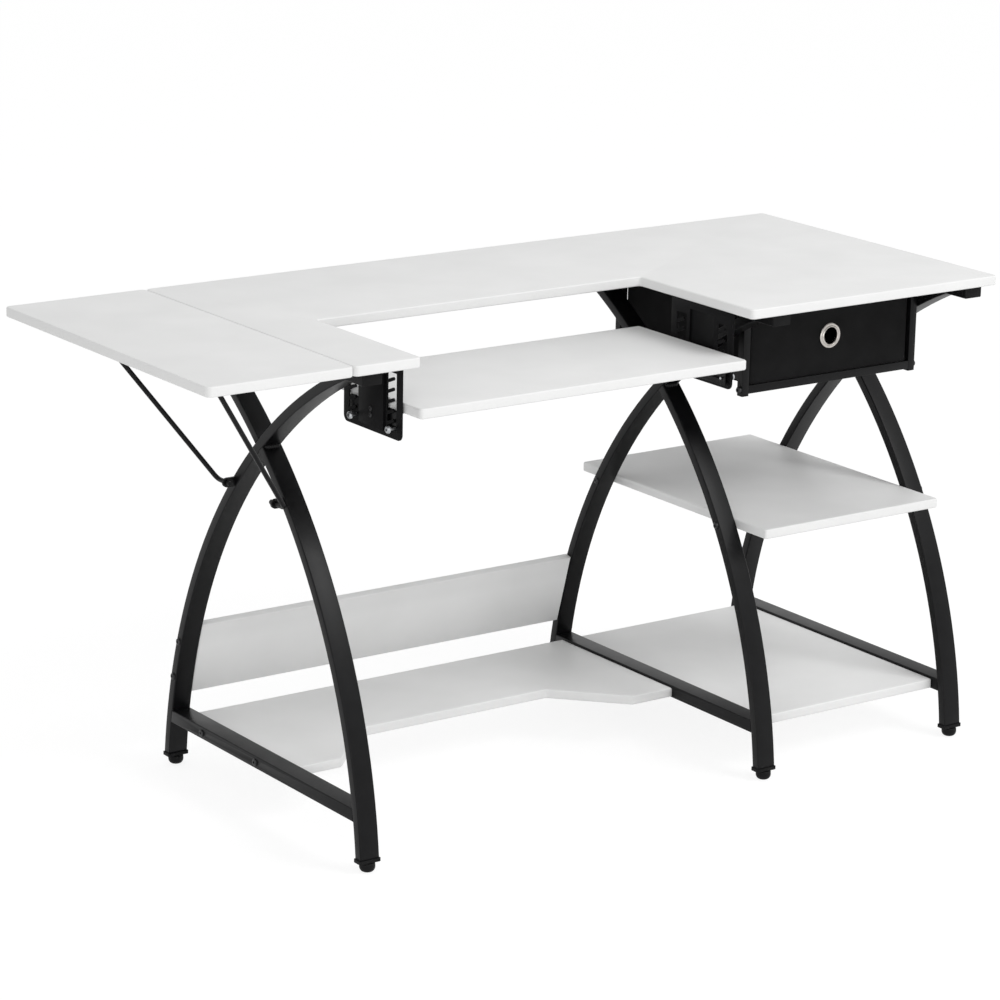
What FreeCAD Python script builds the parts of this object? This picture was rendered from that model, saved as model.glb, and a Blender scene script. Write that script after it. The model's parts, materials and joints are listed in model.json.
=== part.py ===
import FreeCAD, Part
import math
import os

# Sewing desk: white boards on three arched steel frames, in millimetres.
# X runs along the desk to the right, Y to the back and Z up. The origin is on the floor, below the middle.

# Whole desk
desk_width = 1440.0
desk_depth = 588.0
desk_height = 762.0

# Boards
board_thickness = 15.0
board_corner_radius = 8.0
board_edge_chamfer = 1.5

# Fold leaf at the left end
leaf_width = 237.0
leaf_gap = 1.0

# Machine well, cut into the main top from the front
well_left_margin = 112.0
well_width = 595.5
well_depth = 278.0
well_corner_radius = 5.0

# Machine platform
platform_clearance = 2.0
platform_front_inset = 5.0
platform_corner_radius = 6.0
notch_pitch = 15.5
notch_count = 5

# Frame tubes
tube_width = 33.0
tube_depth = 15.0
tube_wall = 1.5
tube_chamfer = 1.2
rail_height = 20.0
left_frame_inset = 38.5
middle_frame_inset = 70.5
right_frame_inset = 36.5
foot_spread = 552.0
foot_height = 20.0
leg_head_spread = 428.0
leg_cross_share = 0.762
top_rail_length = 554.0
floor_rail_height = 84.0

# Tube ends, caps and glides
plug_lip = 1.5
plug_depth = 10.0
cap_flange_thickness = 5.5
cap_flange_overhang = 1.5
cap_plug_depth = 14.0
cap_plug_inset = 2.2
glide_radius = 12.0
glide_sole_radius = 7.5
glide_waist_radius = 8.0
glide_rim_height = 5.0
glide_stem_radius = 4.0
glide_stem_length = 15.0

# Shelves and back panel
shelf_depth = 480.0
lower_shelf_front_reach = 7.5
shelf_corner_radius = 4.0
upper_shelf_top = 393.0
floor_shelf_height = 90.5
left_shelf_depth = 299.0
left_shelf_tip_width = 78.0
left_shelf_recess = 101.0
left_shelf_shoulder = 98.0
panel_height = 122.0
panel_centre = 181.0

# Leaf hinges
hinge_length = 70.0
hinge_plate_width = 18.0
hinge_plate_thickness = 1.5
hinge_axis_drop = 3.0
knuckle_radius = 2.75
knuckle_gap = 0.3
hinge_pin_radius = 1.5
knuckle_share = 0.3
hinge_place_shares = (-0.33, 0.33)

# Support wire under the leaf, its ears on the left frame and its stops
wire_radius = 3.75
wire_pivot_drop = 237.5
wire_pivot_standoff = 13.5
wire_reach = 167.0
wire_foot_width = 190.0
wire_top_width = 320.0
wire_bend_radius = 10.0
wire_tail = 9.0
ear_thickness = 4.0
ear_margin = 3.5
stop_length = 20.0
stop_width = 8.0
stop_height = 3.0
stop_distance = 16.0
stop_place_share = 0.36

# Platform hangers with their comb slots
hanger_thickness = 2.0
hanger_setback = 1.0
hanger_front_inset = 46.0
hanger_length = 152.5
hanger_height = 118.5
hanger_corner_radius = 10.0
hanger_flange_width = 25.0
slot_strip = 14.0
slot_depth = 24.0
slot_spacing = 100.0
slot_channel = 6.5
finger_thickness = 5.0
finger_rise = 7.0
pad_width = 64.0
pad_margin = 8.0
pad_raise = 3.0

# Platform plates and the screw pins that run in the comb slots
plate_thickness = 2.0
plate_front_margin = 8.0
plate_rear_margin = 26.0
plate_foot_margin = 11.0
plate_flange_width = 25.0
pin_radius = 2.9
pin_drop = 24.5
pin_standoff = 11.0
pin_head_radius = 5.75
pin_head_height = 4.0
pin_stub_radius = 2.0
pin_stub_length = 5.0

# Drawer frame
drawer_front_setback = 126.0
drawer_frame_gap = 1.0
drawer_frame_depth = 330.0
post_size = 13.0
post_wall = 1.0
post_length = 155.5
side_rail_rise = 23.0
cross_rail_rise = 2.0

# Fabric drawer and its grommet
bin_side_clearance = 2.0
bin_front_recess = 3.0
bin_back_clearance = 6.0
bin_height = 130.0
bin_wall = 3.0
bin_corner_radius = 6.0
base_thickness = 3.0
base_clearance = 1.0
grommet_rise = 60.0
grommet_radius = 20.5
grommet_hole_radius = 13.0
grommet_barrel = 1.5
grommet_lip = 2.5
washer_thickness = 1.0
washer_margin = 2.0

# Fasteners: shank radius, head radius, head height and length
bolt_sizes = {"shank": 3.0, "head": 5.5, "height": 2.6, "length": 55.0}
rail_screw_sizes = {"shank": 2.2, "head": 4.5, "height": 2.5, "length": 32.0}
board_screw_sizes = {"shank": 1.8, "head": 4.0, "height": 2.2, "length": 12.0}
frame_screw_sizes = {"shank": 2.0, "head": 4.2, "height": 2.4, "length": 24.0}
rail_bolt_sizes = {"shank": 2.5, "head": 5.5, "height": 4.5, "length": 36.0}
stud_radius = 3.0
stud_reach = 20.0
shelf_bolt_shares = (0.7, 0.042)
front_bolt_share = 0.67
panel_bolt_shares = (-0.25, 0.27)
rail_screw_shares = (-0.25, 0.25)
hanger_screw_shares = (0.35, 0.65)
plate_screw_shares = (0.3, 0.7)
frame_screw_shares = (0.2, 0.8)

# Fits and working values
running_clearance = 0.05
rest_gap = 0.3
hole_clearance = 0.2
overrun = 5.0
flat_tolerance = 0.01

# Angles and directions
quarter_turn = 90.0
half_turn = 180.0
origin = FreeCAD.Vector(0, 0, 0)
right = FreeCAD.Vector(1, 0, 0)
back = FreeCAD.Vector(0, 1, 0)
up = FreeCAD.Vector(0, 0, 1)

# Places worked out from the sizes above
left_end = -desk_width / 2
right_end = desk_width / 2
front_edge = -desk_depth / 2
back_edge = desk_depth / 2
underside = desk_height - board_thickness
leaf_right = left_end + leaf_width
main_left = leaf_right + leaf_gap
well_left = main_left + well_left_margin
well_right = well_left + well_width
well_back = front_edge + well_depth
rail_underside = underside - rail_height
left_frame = main_left + left_frame_inset
middle_frame = well_right + middle_frame_inset
right_frame = right_end - right_frame_inset
frames = {"left": left_frame, "middle": middle_frame, "right": right_frame}
half_tube = tube_width / 2
leg_foot = FreeCAD.Vector(0, foot_spread / 2, foot_height)
leg_cross = FreeCAD.Vector(0, 0, leg_cross_share * desk_height)
leg_head = FreeCAD.Vector(0, -leg_head_spread / 2, rail_underside)
leg_circle = Part.Circle(leg_foot, leg_cross, leg_head)
leg_arc_radius = leg_circle.Radius
leg_arc_y = leg_circle.Center.y
leg_arc_z = leg_circle.Center.z
lower_shelf_underside = floor_shelf_height - board_thickness
lower_bolt_height = floor_rail_height
upper_bolt_height = upper_shelf_top - board_thickness / 2
platform_travel = notch_pitch * notch_count
platform_top = desk_height - platform_travel
platform_underside = platform_top - board_thickness
platform_left = well_left + platform_clearance
platform_right = well_right - platform_clearance
platform_front = front_edge + platform_front_inset
platform_back = well_back - platform_clearance
pin_height = platform_underside - pin_drop
hanger_front = front_edge + hanger_front_inset
hanger_back = hanger_front + hanger_length
hanger_bottom = underside - hanger_height
slot_front = hanger_front + slot_strip
front_pin = slot_front + slot_channel / 2
pin_places = (front_pin, front_pin + slot_spacing)
hinge_x = leaf_right + leaf_gap / 2
hinge_z = underside - hinge_axis_drop
wire_pivot_height = underside - wire_pivot_drop
wire_pivot_x = left_frame - half_tube - wire_pivot_standoff
wire_bar_x = wire_pivot_x - wire_reach
wire_bar_z = underside - wire_radius - rest_gap
drawer_left = middle_frame + half_tube + drawer_frame_gap
drawer_right = right_frame - half_tube - drawer_frame_gap
drawer_front = front_edge + drawer_front_setback
drawer_back = drawer_front + drawer_frame_depth
post_bottom = underside - post_length
cross_rail_bottom = post_bottom + cross_rail_rise
cross_rail_top = cross_rail_bottom + post_size
bin_left = drawer_left + post_size + bin_side_clearance
bin_right = drawer_right - post_size - bin_side_clearance
bin_front = drawer_front + bin_front_recess
bin_back = drawer_back - bin_back_clearance
bin_bottom = cross_rail_top + rest_gap
bin_top = bin_bottom + bin_height
grommet_x = (bin_left + bin_right) / 2
grommet_z = bin_bottom + grommet_rise


def point(x, y, z):
    return FreeCAD.Vector(x, y, z)


def block(low, high):
    """Block between its lowest and its highest corner."""
    size = high - low
    return Part.makeBox(size.x, size.y, size.z, low)


def leg_reach(height):
    """How far a leg's middle line stands from the desk's middle, at a height."""
    return leg_arc_y + math.sqrt(leg_arc_radius ** 2 - (height - leg_arc_z) ** 2)


def bend(before, corner, after, radius):
    """The two ends of the arc that rounds a corner, and the point halfway along it."""
    to_before = (before - corner).normalize()
    to_after = (after - corner).normalize()
    half_angle = to_before.getAngle(to_after) / 2
    reach = radius / math.tan(half_angle)
    middle = (to_before + to_after).normalize() * (radius / math.sin(half_angle) - radius)
    return corner + to_before * reach, corner + middle, corner + to_after * reach


def joined(arcs, closed):
    """Wire of arcs with straight lines between them."""
    edges = []
    last = arcs[-1][-1] if closed else None
    for arc in arcs:
        if last and (arc[0] - last).Length > flat_tolerance:
            edges.append(Part.LineSegment(last, arc[0]).toShape())
        if len(arc) > 1:
            edges.append(Part.Arc(*arc).toShape())
        last = arc[-1]
    return Part.Wire(edges)


def rounded_outline(corners):
    """Closed flat outline through corners, each given with its radius."""
    arcs = []
    for index, (corner, radius) in enumerate(corners):
        before = corners[index - 1][0]
        after = corners[(index + 1) % len(corners)][0]
        arcs.append(bend(before, corner, after, radius) if radius else (corner,))
    return joined(arcs, True)


def bent_line(points, radius):
    """Open line whose inner points are rounded by arcs of one radius."""
    arcs = [(points[0],)]
    for before, corner, after in zip(points, points[1:], points[2:]):
        arcs.append(bend(before, corner, after, radius))
    arcs.append((points[-1],))
    return joined(arcs, False)


def flat_board(corners, bottom):
    """Board of the common thickness over an outline, with its long edges broken."""
    face = Part.Face(rounded_outline([(point(x, y, bottom), radius) for x, y, radius in corners]))
    solid = face.extrude(up * board_thickness)
    level_edges = [edge for edge in solid.Edges if edge.BoundBox.ZLength < flat_tolerance]
    return solid.makeChamfer(board_edge_chamfer, level_edges)


def plain_board(left, right_side, front, back_side, bottom, front_radius, back_radius):
    corners = [
        (left, front, front_radius),
        (right_side, front, front_radius),
        (right_side, back_side, back_radius),
        (left, back_side, back_radius),
    ]
    return flat_board(corners, bottom)


def tube_section(width, depth, chamfer):
    """Face of a tube's outer or inner section, in the XY plane about the origin."""
    x = width / 2
    y = depth / 2
    if chamfer:
        sides = [(x, y - chamfer), (x - chamfer, y), (chamfer - x, y), (-x, y - chamfer),
                 (-x, chamfer - y), (chamfer - x, -y), (x - chamfer, -y), (x, chamfer - y)]
    else:
        sides = [(x, y), (-x, y), (-x, -y), (x, -y)]
    corners = [point(a, b, 0) for a, b in sides]
    return Part.Face(Part.makePolygon(corners + corners[:1]))


def straight_bar(width, height, chamfer, length):
    """Bar along Y, in the middle of its length at the origin."""
    bar = tube_section(width, height, chamfer).extrude(up * length)
    bar.translate(point(0, 0, -length / 2))
    bar.rotate(origin, right, quarter_turn)
    return bar


def straight_tube(length):
    """Rail tube along Y, in the middle of its length at the origin."""
    outer = straight_bar(tube_width, rail_height, tube_chamfer, length)
    bore = straight_bar(tube_width - 2 * tube_wall, rail_height - 2 * tube_wall, 0, length + overrun)
    return outer.cut(bore)


def arched_bar(wall, chamfer, low, high):
    """Quarter ring of a tube's section, kept between two heights: it rises from the back foot."""
    section = tube_section(tube_width - 2 * wall, tube_depth - 2 * wall, chamfer)
    section.translate(point(0, leg_arc_y + leg_arc_radius, leg_arc_z))
    ring = section.revolve(point(0, leg_arc_y, leg_arc_z), right, quarter_turn)
    slab = block(point(-tube_width, -desk_depth, low), point(tube_width, desk_depth, high))
    return ring.common(slab).Solids[0]


def frame_tubes():
    """The five tubes of one frame, in the plane X = 0."""
    envelope = arched_bar(0, 0, foot_height, rail_underside)
    bore = arched_bar(tube_wall, 0, foot_height - overrun, rail_underside + overrun)
    back_leg = arched_bar(0, tube_chamfer, foot_height, rail_underside).cut(bore)
    front_legs = back_leg.mirror(origin, back).cut(envelope)
    front_lower, front_upper = sorted(front_legs.Solids, key=lambda solid: solid.CenterOfMass.z)
    lower_rail = straight_tube(2 * leg_reach(floor_rail_height))
    lower_rail.translate(up * floor_rail_height)
    lower_rail = lower_rail.cut(envelope).cut(envelope.mirror(origin, back))
    top_rail = straight_tube(top_rail_length)
    top_rail.translate(up * (underside - rail_height / 2))
    return {
        "back_leg": back_leg,
        "front_leg_lower": front_lower,
        "front_leg_upper": front_upper,
        "lower_rail": lower_rail,
        "top_rail": top_rail,
    }


def fastener(sizes, seat, direction):
    """Headed fastener whose head lies on its seat and whose shank points along a direction."""
    shank = Part.makeCylinder(sizes["shank"], sizes["length"], seat, direction)
    head = Part.makeCylinder(sizes["head"], sizes["height"], seat - direction * sizes["height"], direction)
    return head.fuse(shank)


def fastener_hole(sizes, seat, direction):
    reach = sizes["length"] + overrun + hole_clearance
    return Part.makeCylinder(sizes["shank"] + hole_clearance, reach, seat - direction * overrun, direction)


def main_top():
    corners = [
        (main_left, front_edge, board_corner_radius),
        (well_left, front_edge, board_corner_radius),
        (well_left, well_back, well_corner_radius),
        (well_right, well_back, well_corner_radius),
        (well_right, front_edge, board_corner_radius),
        (right_end, front_edge, board_corner_radius),
        (right_end, back_edge, board_corner_radius),
        (main_left, back_edge, board_corner_radius),
    ]
    return flat_board(corners, underside)


def fold_leaf():
    radius = board_corner_radius
    return plain_board(left_end, leaf_right, front_edge, back_edge, underside, radius, radius)


def machine_platform():
    return plain_board(platform_left, platform_right, platform_front, platform_back, platform_underside,
                       platform_corner_radius, well_corner_radius)


def left_shelf():
    """Low shelf whose front edge steps back between two tips with slanted shoulders."""
    left = left_frame + half_tube
    right_side = middle_frame - half_tube
    back_side = shelf_depth / 2
    tip = back_side - left_shelf_depth
    inner = tip + left_shelf_recess
    shoulder = left_shelf_tip_width + left_shelf_shoulder
    corners = [
        (left, tip, 0),
        (left + left_shelf_tip_width, tip, shelf_corner_radius),
        (left + shoulder, inner, shelf_corner_radius),
        (right_side - shoulder, inner, shelf_corner_radius),
        (right_side - left_shelf_tip_width, tip, shelf_corner_radius),
        (right_side, tip, 0),
        (right_side, back_side, 0),
        (left, back_side, 0),
    ]
    return flat_board(corners, lower_shelf_underside)


def right_shelf(top, front_reach):
    """Shelf between the middle and right frames, a little deeper in front by its reach."""
    left = middle_frame + half_tube
    right_side = right_frame - half_tube
    half_depth = shelf_depth / 2
    front = -half_depth - front_reach
    radius = shelf_corner_radius
    return plain_board(left, right_side, front, half_depth, top - board_thickness, radius, radius)


def panel_tilt():
    """Lean of the back legs at the height of the panel's middle, in degrees from upright."""
    return math.degrees(math.asin((panel_centre - leg_arc_z) / leg_arc_radius))


def panel_point(share):
    """Point on the panel's middle line, a share of its height above its middle."""
    lean = math.radians(panel_tilt())
    along = share * panel_height
    return point(0, leg_reach(panel_centre) - along * math.sin(lean), panel_centre + along * math.cos(lean))


def back_panel():
    left = left_frame + half_tube
    right_side = middle_frame - half_tube
    half_height = panel_height / 2
    panel = plain_board(left, right_side, -half_height, half_height, -board_thickness / 2, 0, 0)
    panel.rotate(origin, right, quarter_turn + panel_tilt())
    panel.translate(panel_point(0))
    return panel


def rail_end_plugs():
    """Plastic plugs in both ends of the three top rails."""
    plugs = []
    bore_width = tube_width - 2 * tube_wall
    bore_height = rail_height - 2 * tube_wall
    lip = straight_bar(tube_width, rail_height, tube_chamfer, plug_lip)
    lip.translate(back * (top_rail_length + plug_lip) * 0.5)
    body = straight_bar(bore_width - 2 * hole_clearance, bore_height - 2 * hole_clearance, 0, plug_depth)
    body.translate(back * (top_rail_length - plug_depth) * 0.5)
    plug = lip.fuse(body)
    for frame_x in frames.values():
        place = point(frame_x, 0, underside - rail_height / 2)
        plugs.append(plug.translated(place))
        plugs.append(plug.mirror(origin, back).translated(place))
    return Part.makeCompound(plugs)


def foot_places():
    """Name, X and Y of each leg end."""
    places = []
    for frame_name, frame_x in frames.items():
        places.append((frame_name + "_front", frame_x, -leg_reach(foot_height)))
        places.append((frame_name + "_back", frame_x, leg_reach(foot_height)))
    return places


def foot_cap():
    """Flanged plastic cap that plugs a leg end and holds a glide's stem."""
    flange = tube_section(tube_width + cap_flange_overhang * 2, tube_depth + cap_flange_overhang * 2, tube_chamfer)
    flange = flange.extrude(up * cap_flange_thickness)
    inset = (tube_wall + cap_plug_inset) * 2
    body = tube_section(tube_width - inset, tube_depth - inset, 0).extrude(up * cap_plug_depth)
    body.translate(up * cap_flange_thickness)
    bore_length = cap_flange_thickness + cap_plug_depth + overrun * 2
    bore = Part.makeCylinder(glide_stem_radius + running_clearance, bore_length, up * -overrun)
    cap = flange.fuse(body).cut(bore)
    cap.translate(up * (foot_height - cap_flange_thickness))
    return cap


def glide():
    """Round levelling foot with its threaded stem, standing on the floor at the origin."""
    top = foot_height - cap_flange_thickness - rest_gap
    profile = [
        point(0, 0, 0),
        point(glide_sole_radius, 0, 0),
        point(glide_radius, 0, glide_rim_height / 2),
        point(glide_radius, 0, glide_rim_height),
        point(glide_waist_radius, 0, top),
        point(glide_stem_radius, 0, top),
        point(glide_stem_radius, 0, top + glide_stem_length),
        point(0, 0, top + glide_stem_length),
    ]
    face = Part.Face(Part.makePolygon(profile + profile[:1]))
    return face.revolve(origin, up, 2 * half_turn)


def hinge_leaf(side, knuckles):
    """Plate and knuckles of a hinge half, with the pin's axis along Y at the origin."""
    top = hinge_axis_drop
    bottom = top - hinge_plate_thickness
    near = knuckle_radius + knuckle_gap
    half = hinge_length / 2
    plate = block(point(near, -half, bottom), point(hinge_plate_width, half, top))
    for start, end in knuckles:
        barrel = Part.makeCylinder(knuckle_radius, end - start, back * start, back)
        web = block(point(0, start, bottom), point(near, end, top))
        plate = plate.fuse(barrel).fuse(web)
    bore = Part.makeCylinder(hinge_pin_radius + running_clearance, hinge_length + overrun * 2,
                             back * (-half - overrun), back)
    plate = plate.cut(bore)
    if side < 0:
        plate = plate.mirror(origin, right)
    return plate


def hinge_groups():
    """Fixed plates, leaf plates and pins of the leaf hinges, as three groups."""
    half = hinge_length / 2
    inner = hinge_length * knuckle_share
    fixed_half = hinge_leaf(1, [(-half, inner - half), (half - inner, half)])
    leaf_half = hinge_leaf(-1, [(inner - half + knuckle_gap, half - inner - knuckle_gap)])
    pin = Part.makeCylinder(hinge_pin_radius, hinge_length, back * -half, back)
    places = [point(hinge_x, share * desk_depth, hinge_z) for share in hinge_place_shares]
    groups = []
    for piece in (fixed_half, leaf_half, pin):
        groups.append(Part.makeCompound([piece.translated(place) for place in places]))
    return groups


def leaf_support_wire():
    """Bent wire: two tails in the ears, two splayed arms and a bar under the leaf."""
    rise = wire_bar_z - wire_pivot_height
    arm = math.hypot(wire_reach, rise)
    tail = leg_reach(wire_pivot_height) - ear_thickness / 2 - wire_tail
    route = [(0, -tail), (0, -wire_foot_width / 2), (arm, -wire_top_width / 2),
             (arm, wire_top_width / 2), (0, wire_foot_width / 2), (0, tail)]
    line = bent_line([point(x, y, 0) for x, y in route], wire_bend_radius)
    section = Part.Wire(Part.makeCircle(wire_radius, point(0, -tail, 0), back))
    wire = line.makePipeShell([section], True, False)
    wire.rotate(origin, back, half_turn + math.degrees(math.atan2(rise, wire_reach)))
    wire.translate(point(wire_pivot_x, 0, wire_pivot_height))
    return wire


def wire_ears():
    """Tabs welded to the left frame's legs, with a bore for the wire's tails."""
    ears = []
    lobe = wire_radius + ear_margin
    for side in (-1, 1):
        middle = side * leg_reach(wire_pivot_height)
        near = middle - ear_thickness / 2
        pivot = point(wire_pivot_x, near, wire_pivot_height)
        tab = block(pivot - up * lobe, point(left_frame - half_tube, near + ear_thickness, wire_pivot_height + lobe))
        tab = tab.fuse(Part.makeCylinder(lobe, ear_thickness, pivot, back))
        bore = Part.makeCylinder(wire_radius + running_clearance, ear_thickness + overrun * 2,
                                 pivot - back * overrun, back)
        ears.append(tab.cut(bore))
    return Part.makeCompound(ears)


def wire_stops():
    """Two small blocks under the leaf that keep the wire's bar from sliding out."""
    stops = []
    x = wire_bar_x - stop_distance
    for side in (-1, 1):
        y = side * wire_top_width * stop_place_share
        low = point(x - stop_width, y - stop_length / 2, underside - stop_height)
        stops.append(block(low, point(x, y + stop_length / 2, underside)))
    return Part.makeCompound(stops)


def comb_finger(root_y, tip_y, tip_z):
    """Slanted finger with a round tip, hanging into a slot from its back edge, one plate thick."""
    half = finger_thickness / 2
    tip = point(0, tip_y + half, tip_z)
    root = point(0, root_y + half, tip_z - finger_rise)
    along = (tip - root).normalize()
    across = right.cross(along) * half
    edges = [
        Part.LineSegment(root - across, tip - across).toShape(),
        Part.Arc(tip - across, tip + along * half, tip + across).toShape(),
        Part.LineSegment(tip + across, root + across).toShape(),
        Part.LineSegment(root + across, root - across).toShape(),
    ]
    return Part.Face(Part.Wire(edges)).extrude(right * hanger_thickness)


def comb_slot(front):
    """What is cut away for one comb slot: an upright channel with notches behind it."""
    rear = front + slot_depth
    low = pin_height - pin_radius - rest_gap
    high = pin_height + platform_travel + pin_radius + rest_gap
    opening = block(point(0, front, low), point(hanger_thickness, rear, high))
    for notch in range(1, notch_count + 1):
        seat = pin_height + notch * notch_pitch - pin_radius - rest_gap
        opening = opening.cut(comb_finger(rear, front + slot_channel, seat - finger_thickness / 2))
    return opening


def hanger():
    """Left platform hanger, its inner face at X = 0 after the shift: plate, flange, pad and comb slots."""
    corners = [
        (point(0, hanger_front, underside), 0),
        (point(0, hanger_front, hanger_bottom), hanger_corner_radius),
        (point(0, hanger_back, hanger_bottom), hanger_corner_radius),
        (point(0, hanger_back, underside), 0),
    ]
    plate = Part.Face(rounded_outline(corners)).extrude(right * hanger_thickness)
    flange_low = point(hanger_thickness - hanger_flange_width, hanger_front, underside - hanger_thickness)
    plate = plate.fuse(block(flange_low, point(hanger_thickness, hanger_back, underside)))
    pad_front = (hanger_front + hanger_back - pad_width) / 2
    pad_low = point(-pad_raise, pad_front, hanger_bottom + pad_margin)
    pad_high = point(hanger_thickness, pad_front + pad_width, underside - hanger_thickness - pad_margin)
    wall = point(hanger_thickness, hanger_thickness, hanger_thickness)
    hollow_high = pad_high - wall + right * (hanger_thickness + overrun)
    plate = plate.fuse(block(pad_low, pad_high)).cut(block(pad_low + wall, hollow_high))
    for pin_place in pin_places:
        plate = plate.cut(comb_slot(pin_place - slot_channel / 2))
    return plate


def hangers():
    left = hanger()
    left.translate(right * (well_left - hanger_setback - hanger_thickness))
    middle = point((well_left + well_right) / 2, 0, 0)
    return left, left.mirror(middle, right)


def platform_plate():
    """Left angle plate under the platform, with bores for the pins' stubs."""
    front = pin_places[0] - plate_front_margin
    rear = pin_places[1] + plate_rear_margin
    bottom = pin_height - plate_foot_margin
    web_high = point(platform_left + plate_thickness, rear, platform_underside)
    web = block(point(platform_left, front, bottom), web_high)
    flange_low = point(platform_left, front, platform_underside - plate_thickness)
    flange_high = point(platform_left + plate_flange_width, rear, platform_underside)
    plate = web.fuse(block(flange_low, flange_high))
    for pin_place in pin_places:
        seat = point(platform_left - overrun, pin_place, pin_height)
        plate = plate.cut(Part.makeCylinder(pin_stub_radius + hole_clearance, overrun * 2 + plate_thickness, seat, right))
    return plate


def platform_pin(pin_place):
    """Left screw pin: its shoulder stands on the platform plate and its head is clear of the hanger."""
    shoulder = point(platform_left, pin_place, pin_height)
    outward = -right
    shank_length = platform_clearance + hanger_setback + hanger_thickness + pin_standoff
    shank = Part.makeCylinder(pin_radius, shank_length, shoulder, outward)
    head = Part.makeCylinder(pin_head_radius, pin_head_height, shoulder + outward * shank_length, outward)
    stub = Part.makeCylinder(pin_stub_radius, pin_stub_length, shoulder, right)
    return shank.fuse(head).fuse(stub)


def about_well(shape):
    """The same piece on the well's right side."""
    return shape.mirror(point((well_left + well_right) / 2, 0, 0), right)


def about_drawer(shape):
    """The same piece on the drawer frame's right side."""
    return shape.mirror(point((drawer_left + drawer_right) / 2, 0, 0), right)


def drawer_bars(wall, extra):
    """Bars of the left side frame, drawn in by a wall, with posts that run on at their open lower end."""
    left = drawer_left + wall
    right_side = drawer_left + post_size - wall
    side_rail = post_bottom + side_rail_rise
    spans = [
        (drawer_front, drawer_front + post_size, post_bottom - extra + wall, underside),
        (drawer_back - post_size, drawer_back, post_bottom - extra + wall, underside),
        (drawer_front, drawer_back, underside - post_size, underside),
        (drawer_front, drawer_back, side_rail, side_rail + post_size),
    ]
    bars = []
    for front, rear, low, high in spans:
        low_wall = 0 if low < post_bottom else wall
        bars.append(block(point(left, front + wall, low + low_wall), point(right_side, rear - wall, high - wall)))
    return bars[0].multiFuse(bars[1:])


def drawer_side_frame():
    """Left side frame of the drawer: two posts welded to a top bar and a lower bar, all hollow."""
    return drawer_bars(0, 0).cut(drawer_bars(post_wall, overrun)).removeSplitter()


def drawer_cross_rail(front):
    """Hollow rail between the two side frames, at their lower end."""
    left = drawer_left + post_size
    right_side = drawer_right - post_size
    outer = block(point(left, front, cross_rail_bottom), point(right_side, front + post_size, cross_rail_top))
    bore_low = point(left - overrun, front + post_wall, cross_rail_bottom + post_wall)
    bore_high = point(right_side + overrun, front + post_size - post_wall, cross_rail_top - post_wall)
    return outer.cut(block(bore_low, bore_high))


def drawer_post_plugs():
    """Plastic plugs in the open lower ends of the drawer frame's posts."""
    plugs = []
    inset = post_wall + hole_clearance
    for front in (drawer_front, drawer_back - post_size):
        lip = block(point(drawer_left, front, post_bottom - plug_lip),
                    point(drawer_left + post_size, front + post_size, post_bottom))
        body = block(point(drawer_left + inset, front + inset, post_bottom),
                     point(drawer_left + post_size - inset, front + post_size - inset,
                           cross_rail_bottom + post_wall))
        plug = lip.fuse(body)
        plugs.extend([plug, about_drawer(plug)])
    return Part.makeCompound(plugs)


def drawer_bin():
    """Open fabric box with rounded upright corners and a hole for the grommet."""

    def prism(inset, low, high):
        left = bin_left + inset
        right_side = bin_right - inset
        front = bin_front + inset
        rear = bin_back - inset
        radius = bin_corner_radius - inset
        corners = [(point(left, front, low), radius), (point(right_side, front, low), radius),
                   (point(right_side, rear, low), radius), (point(left, rear, low), radius)]
        return Part.Face(rounded_outline(corners)).extrude(up * (high - low))

    box = prism(0, bin_bottom, bin_top).cut(prism(bin_wall, bin_bottom + bin_wall, bin_top + overrun))
    hole_radius = grommet_hole_radius + grommet_barrel + hole_clearance
    hole_start = point(grommet_x, bin_front - overrun, grommet_z)
    return box.cut(Part.makeCylinder(hole_radius, bin_wall + overrun * 2, hole_start, back))


def drawer_base_board():
    """Stiff board that lies on the bin's bottom."""
    inset = bin_wall + base_clearance
    low = bin_bottom + bin_wall
    return block(point(bin_left + inset, bin_front + inset, low),
                 point(bin_right - inset, bin_back - inset, low + base_thickness))


def drawer_grommet():
    """Rolled metal ring on the drawer's front, with a barrel through the wall."""
    inner = grommet_hole_radius
    barrel = inner + grommet_barrel
    crown = (inner + grommet_radius) / 2
    depth = bin_wall + washer_thickness
    start = point(barrel, 0, 0)
    rim = [
        Part.LineSegment(start, point(grommet_radius, 0, 0)).toShape(),
        Part.Arc(point(grommet_radius, 0, 0), point(crown, -grommet_lip, 0), point(inner, 0, 0)).toShape(),
        Part.LineSegment(point(inner, 0, 0), point(inner, depth, 0)).toShape(),
        Part.LineSegment(point(inner, depth, 0), point(barrel, depth, 0)).toShape(),
        Part.LineSegment(point(barrel, depth, 0), start).toShape(),
    ]
    ring = Part.Face(Part.Wire(rim)).revolve(origin, back, 2 * half_turn)
    ring.translate(point(grommet_x, bin_front, grommet_z))
    return ring


def drawer_grommet_washer():
    """Flat ring behind the drawer's front wall, round the grommet's barrel."""
    place = point(grommet_x, bin_front + bin_wall, grommet_z)
    disc = Part.makeCylinder(grommet_radius - washer_margin, washer_thickness, place, back)
    bore_radius = grommet_hole_radius + grommet_barrel + running_clearance
    bore = Part.makeCylinder(bore_radius, washer_thickness + overrun * 2, place - back * overrun, back)
    return disc.cut(bore)


def shelf_bolt_places():
    """Y of the two bolts in each end of a lower shelf."""
    return [share * shelf_depth / 2 for share in shelf_bolt_shares]


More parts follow.
